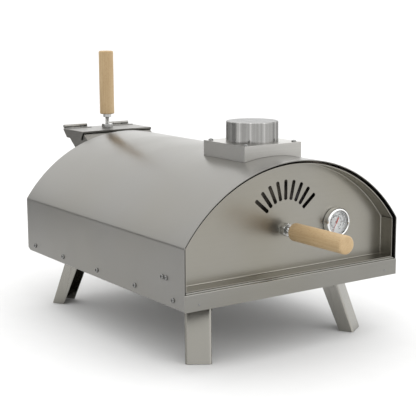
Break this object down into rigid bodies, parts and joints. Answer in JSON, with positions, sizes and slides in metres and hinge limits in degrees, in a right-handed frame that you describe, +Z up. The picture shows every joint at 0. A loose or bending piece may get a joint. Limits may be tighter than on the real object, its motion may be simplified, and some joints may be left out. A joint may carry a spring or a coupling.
{
  "type": "wood fired pizza oven",
  "caption": "Arched stainless steel oven on folding legs, with a plug door, wooden handles, a dial thermometer, a capped flue and a rear fuel hopper.",
  "frame": {"origin": "on the ground under the middle of the bounding box", "axes": "+X to the right seen from the front, +Y from the door towards the fuel hopper, +Z up"},
  "size_m": [0.4052, 0.7336, 0.4324],
  "materials": {
    "shell_stainless": "satin brushed stainless steel",
    "door_stainless": "semi-bright stainless steel",
    "cap_stainless": "bright drawn stainless steel",
    "pan_stainless": "mill finish stainless steel",
    "leg_stainless": "brushed stainless steel, bent channel",
    "liner_stainless": "heat tinted stainless steel",
    "hinge_steel": "pressed steel hinge",
    "zinc_steel": "bright zinc plated fasteners",
    "bright_steel": "polished stainless steel",
    "beech_wood": "turned beech, unvarnished",
    "cordierite": "fired cordierite",
    "ceramic_fibre": "ceramic fibre blanket",
    "dial_white": "printed dial face",
    "needle_red": "red painted pointer",
    "clear_glass": "flat clear glass"
  },
  "bodies": {
    "oven_body": {"outer_shell": "shell_stainless", "inner_liner": "liner_stainless", "insulation_blanket": "ceramic_fibre", "base_tray": "pan_stainless", "front_fascia": "shell_stainless", "door_sill": "shell_stainless", "hearth_pan": "liner_stainless", "floor_insulation": "ceramic_fibre", "front_frame": "liner_stainless", "pizza_stone": "cordierite", "flame_baffle": "liner_stainless", "grate_rails": "liner_stainless", "rear_panel": "shell_stainless", "hopper": "pan_stainless", "hopper_hinge_leaves": "hinge_steel", "hinge_pins": "hinge_steel", "chimney_base": "shell_stainless", "flue_tube": "liner_stainless", "chimney_screws": "zinc_steel", "leg_bolts": "zinc_steel", "leg_nuts": "zinc_steel", "shell_screws_left": "zinc_steel", "shell_screws_right": "zinc_steel", "frame_screws": "zinc_steel", "fascia_rivets": "zinc_steel", "panel_screws": "zinc_steel", "hopper_screws": "zinc_steel", "leg_bracket_front_left": "leg_stainless", "leg_bracket_front_right": "leg_stainless", "leg_bracket_rear_left": "leg_stainless", "leg_bracket_rear_right": "leg_stainless"},
    "door": {"door_panel": "door_stainless", "door_plug": "liner_stainless", "door_handle_grip": "beech_wood", "door_handle_stud": "zinc_steel", "door_handle_nuts": "zinc_steel", "thermometer_case": "bright_steel", "thermometer_bezel": "bright_steel", "thermometer_glass": "clear_glass", "thermometer_dial": "dial_white", "thermometer_stem": "bright_steel", "thermometer_nut": "zinc_steel"},
    "needle": {"thermometer_needle": "needle_red"},
    "fuel_lid": {"hopper_lid": "pan_stainless", "lid_hinge_leaves": "hinge_steel", "lid_handle_grip": "beech_wood", "lid_handle_stud": "zinc_steel", "lid_handle_nuts": "zinc_steel"},
    "flue_cap": {"chimney_cap": "cap_stainless"},
    "grate_drawer": {"fire_basket": "pan_stainless", "ash_grid": "liner_stainless", "grate_plate": "pan_stainless", "grate_handle_grip": "beech_wood", "grate_handle_stud": "zinc_steel", "grate_handle_nuts": "zinc_steel"},
    "folding_leg_front_left": {"leg_front_left": "leg_stainless"},
    "folding_leg_front_right": {"leg_front_right": "leg_stainless"},
    "folding_leg_rear_left": {"leg_rear_left": "leg_stainless"},
    "folding_leg_rear_right": {"leg_rear_right": "leg_stainless"}
  },
  "joints": [
    {"name": "door_pull", "type": "slide", "parent": "oven_body", "child": "door", "axis": [0, -1, 0], "range_m": [0, 0.2]},
    {"name": "needle_turn", "type": "hinge", "parent": "door", "child": "needle", "pos_m": [0.096, -0.22985, 0.1834], "axis": [0, 1, 0], "range_deg": [0, 300]},
    {"name": "fuel_lid_hinge", "type": "hinge", "parent": "oven_body", "child": "fuel_lid", "pos_m": [0, 0.35075, 0.2924], "axis": [-1, 0, 0], "range_deg": [0, 105]},
    {"name": "flue_cap_lift", "type": "slide", "parent": "oven_body", "child": "flue_cap", "axis": [0, 0, 1], "range_m": [0, 0.06]},
    {"name": "grate_slide", "type": "slide", "parent": "oven_body", "child": "grate_drawer", "axis": [0, 1, 0], "range_m": [0, 0.1]},
    {"name": "leg_fold_front_left", "type": "hinge", "parent": "oven_body", "child": "folding_leg_front_left", "pos_m": [-0.13, -0.18755, 0.0784], "axis": [0.8406, -0.5417, 0], "range_deg": [0, 106]},
    {"name": "leg_fold_front_right", "type": "hinge", "parent": "oven_body", "child": "folding_leg_front_right", "pos_m": [0.13, -0.18755, 0.0784], "axis": [0.8406, 0.5417, 0], "range_deg": [0, 106]},
    {"name": "leg_fold_rear_left", "type": "hinge", "parent": "oven_body", "child": "folding_leg_rear_left", "pos_m": [-0.136, 0.17955, 0.0784], "axis": [-0.8406, -0.5417, 0], "range_deg": [0, 106]},
    {"name": "leg_fold_rear_right", "type": "hinge", "parent": "oven_body", "child": "folding_leg_rear_right", "pos_m": [0.136, 0.17955, 0.0784], "axis": [-0.8406, 0.5417, 0], "range_deg": [0, 106]}
  ]
}
